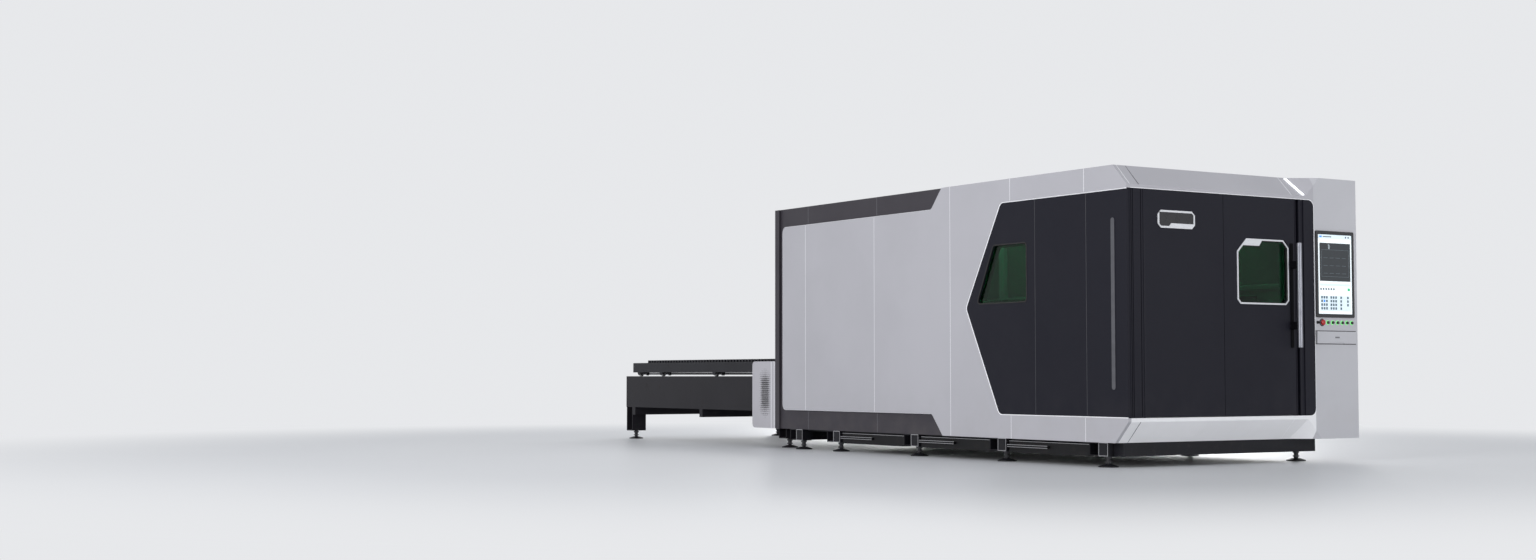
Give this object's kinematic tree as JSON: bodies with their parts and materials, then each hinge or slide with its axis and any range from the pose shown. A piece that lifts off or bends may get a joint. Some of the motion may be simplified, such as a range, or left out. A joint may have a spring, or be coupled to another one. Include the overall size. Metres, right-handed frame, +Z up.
{
  "type": "fiber laser cutting machine",
  "caption": "Enclosed fiber laser cutting machine with folding door, console, gantry and two exchange pallets.",
  "frame": {"origin": "middle of the footprint on the floor", "axes": "+X to the right across the door end, +Y from the door end to the exchange table, +Z up"},
  "size_m": [2.42, 7.9486, 2.2],
  "materials": {
    "light_panels": "satin powder coat",
    "dark_panels": "satin powder coat",
    "border_panels": "satin powder coat",
    "black_frames": "semi-matt paint on welded steel",
    "laser_glass": "green tinted laser-safe pane",
    "silver_trim": "bright satin",
    "light_strip": "translucent lamp cover, unlit",
    "lamp_bar": "white lamp cover",
    "black_plastic": "fine moulded texture",
    "screen": "lit display behind glass",
    "red_plastic": "smooth moulded",
    "green_buttons": "smooth moulded, lit",
    "machined_steel": "ground and turned steel"
  },
  "bodies": {
    "root": {"base_frame": "black_frames", "machine_bed": "black_frames", "left_border_frame": "border_panels", "left_cladding": "light_panels", "left_window_panel": "dark_panels", "side_window_glass": "laser_glass", "side_light_strip": "light_strip", "right_side_wall": "light_panels", "roof_panel": "light_panels", "rear_wall": "border_panels", "corner_post": "dark_panels", "fascia_top": "light_panels", "fascia_bottom": "light_panels", "fascia_light_bar": "lamp_bar", "door_jamb": "dark_panels", "console_cabinet": "light_panels", "monitor_bezel": "black_plastic", "monitor_screen": "screen", "guide_rail_left": "machined_steel", "guide_rail_right": "machined_steel", "table_frame": "black_frames", "drive_cover_left": "light_panels", "drive_cover_right": "light_panels"},
    "door_left": {"door_leaf_left": "dark_panels", "badge_plate": "silver_trim"},
    "door_right": {"door_leaf_right": "dark_panels", "door_window_glass": "laser_glass", "door_window_rim": "silver_trim", "door_handle": "silver_trim", "handle_post_lower": "black_plastic", "handle_post_upper": "black_plastic"},
    "gantry": {"gantry_beam": "dark_panels"},
    "carriage": {"head_carriage": "light_panels"},
    "head": {"cutting_head": "machined_steel"},
    "keyboard": {"keyboard_drawer": "light_panels"},
    "stop_button": {"emergency_stop": "red_plastic"},
    "key": {"key_switch": "black_plastic"},
    "button_1": {"push_button_1": "green_buttons"},
    "button_2": {"push_button_2": "green_buttons"},
    "button_3": {"push_button_3": "green_buttons"},
    "button_4": {"push_button_4": "green_buttons"},
    "button_5": {"push_button_5": "green_buttons"},
    "button_6": {"push_button_6": "green_buttons"},
    "scrap_tray_1": {"slag_drawer_1": "border_panels"},
    "scrap_tray_2": {"slag_drawer_2": "border_panels"},
    "scrap_tray_3": {"slag_drawer_3": "border_panels"},
    "top_pallet": {"upper_pallet": "black_frames"},
    "bottom_pallet": {"lower_pallet": "black_frames"},
    "upper_axle_1": {"upper_wheels_1": "machined_steel"},
    "upper_axle_2": {"upper_wheels_2": "machined_steel"},
    "upper_axle_3": {"upper_wheels_3": "machined_steel"},
    "upper_axle_4": {"upper_wheels_4": "machined_steel"},
    "lower_axle_1": {"lower_wheels_1": "machined_steel"},
    "lower_axle_2": {"lower_wheels_2": "machined_steel"},
    "lower_axle_3": {"lower_wheels_3": "machined_steel"},
    "lower_axle_4": {"lower_wheels_4": "machined_steel"}
  },
  "joints": [
    {"name": "door_swing", "type": "hinge", "parent": "root", "child": "door_left", "pos_m": [-1.039, -3.86368, 1.192], "axis": [0, 0, -1], "range_deg": [0, 80]},
    {"name": "door_fold", "type": "hinge", "parent": "door_left", "child": "door_right", "pos_m": [-0.24243, -3.82468, 1.192], "axis": [0, 0, 1], "range_deg": [0, 160]},
    {"name": "gantry_travel", "type": "slide", "parent": "root", "child": "gantry", "axis": [0, 1, 0], "range_m": [-0.1, 3.35]},
    {"name": "carriage_travel", "type": "slide", "parent": "gantry", "child": "carriage", "axis": [1, 0, 0], "range_m": [-0.75, 0.75]},
    {"name": "head_lift", "type": "slide", "parent": "carriage", "child": "head", "axis": [0, 0, -1], "range_m": [-0.05, 0.065]},
    {"name": "keyboard_slide", "type": "slide", "parent": "root", "child": "keyboard", "axis": [0, -1, 0], "range_m": [0, 0.22]},
    {"name": "stop_push", "type": "slide", "parent": "root", "child": "stop_button", "axis": [0, 1, 0], "range_m": [0, 0.006], "stiffness_N_per_m": 900},
    {"name": "key_turn", "type": "hinge", "parent": "root", "child": "key", "pos_m": [0.759, -3.87568, 1.079], "axis": [0, -1, 0], "range_deg": [0, 90]},
    {"name": "button_push_1", "type": "slide", "parent": "root", "child": "button_1", "axis": [0, 1, 0], "range_m": [0, 0.004], "stiffness_N_per_m": 500},
    {"name": "button_push_2", "type": "slide", "parent": "root", "child": "button_2", "axis": [0, 1, 0], "range_m": [0, 0.004], "stiffness_N_per_m": 500},
    {"name": "button_push_3", "type": "slide", "parent": "root", "child": "button_3", "axis": [0, 1, 0], "range_m": [0, 0.004], "stiffness_N_per_m": 500},
    {"name": "button_push_4", "type": "slide", "parent": "root", "child": "button_4", "axis": [0, 1, 0], "range_m": [0, 0.004], "stiffness_N_per_m": 500},
    {"name": "button_push_5", "type": "slide", "parent": "root", "child": "button_5", "axis": [0, 1, 0], "range_m": [0, 0.004], "stiffness_N_per_m": 500},
    {"name": "button_push_6", "type": "slide", "parent": "root", "child": "button_6", "axis": [0, 1, 0], "range_m": [0, 0.004], "stiffness_N_per_m": 500},
    {"name": "scrap_slide_1", "type": "slide", "parent": "root", "child": "scrap_tray_1", "axis": [-1, 0, 0], "range_m": [0, 1.4]},
    {"name": "scrap_slide_2", "type": "slide", "parent": "root", "child": "scrap_tray_2", "axis": [-1, 0, 0], "range_m": [0, 1.4]},
    {"name": "scrap_slide_3", "type": "slide", "parent": "root", "child": "scrap_tray_3", "axis": [-1, 0, 0], "range_m": [0, 1.4]},
    {"name": "top_pallet_travel", "type": "slide", "parent": "root", "child": "top_pallet", "axis": [0, -1, 0], "range_m": [0, 3.35]},
    {"name": "bottom_pallet_travel", "type": "slide", "parent": "root", "child": "bottom_pallet", "axis": [0, 1, 0], "range_m": [0, 3.35]},
    {"name": "upper_roll_1", "type": "hinge", "parent": "top_pallet", "child": "upper_axle_1", "pos_m": [-0.12, 1.10393, 0.6878], "axis": [1, 0, 0], "continuous": true},
    {"name": "upper_roll_2", "type": "hinge", "parent": "top_pallet", "child": "upper_axle_2", "pos_m": [-0.12, 2.18412, 0.6878], "axis": [1, 0, 0], "continuous": true},
    {"name": "upper_roll_3", "type": "hinge", "parent": "top_pallet", "child": "upper_axle_3", "pos_m": [-0.12, 3.26432, 0.6878], "axis": [1, 0, 0], "continuous": true},
    {"name": "upper_roll_4", "type": "hinge", "parent": "top_pallet", "child": "upper_axle_4", "pos_m": [-0.12, 3.74154, 0.6878], "axis": [1, 0, 0], "continuous": true},
    {"name": "lower_roll_1", "type": "hinge", "parent": "bottom_pallet", "child": "lower_axle_1", "pos_m": [-0.12, -2.24607, 0.3768], "axis": [-1, 0, 0], "continuous": true},
    {"name": "lower_roll_2", "type": "hinge", "parent": "bottom_pallet", "child": "lower_axle_2", "pos_m": [-0.12, -1.16588, 0.3768], "axis": [-1, 0, 0], "continuous": true},
    {"name": "lower_roll_3", "type": "hinge", "parent": "bottom_pallet", "child": "lower_axle_3", "pos_m": [-0.12, -0.08568, 0.3768], "axis": [-1, 0, 0], "continuous": true},
    {"name": "lower_roll_4", "type": "hinge", "parent": "bottom_pallet", "child": "lower_axle_4", "pos_m": [-0.12, 0.39154, 0.3768], "axis": [-1, 0, 0], "continuous": true}
  ],
  "couplings": [
    {"joint": "door_fold", "follows": "door_swing", "ratio": 2},
    {"joint": "bottom_pallet_travel", "follows": "top_pallet_travel", "ratio": 1},
    {"joint": "upper_roll_1", "follows": "top_pallet_travel", "rad_per_m": 36.364},
    {"joint": "upper_roll_2", "follows": "top_pallet_travel", "rad_per_m": 36.364},
    {"joint": "upper_roll_3", "follows": "top_pallet_travel", "rad_per_m": 36.364},
    {"joint": "upper_roll_4", "follows": "top_pallet_travel", "rad_per_m": 36.364},
    {"joint": "lower_roll_1", "follows": "top_pallet_travel", "rad_per_m": 36.364},
    {"joint": "lower_roll_2", "follows": "top_pallet_travel", "rad_per_m": 36.364},
    {"joint": "lower_roll_3", "follows": "top_pallet_travel", "rad_per_m": 36.364},
    {"joint": "lower_roll_4", "follows": "top_pallet_travel", "rad_per_m": 36.364}
  ]
}
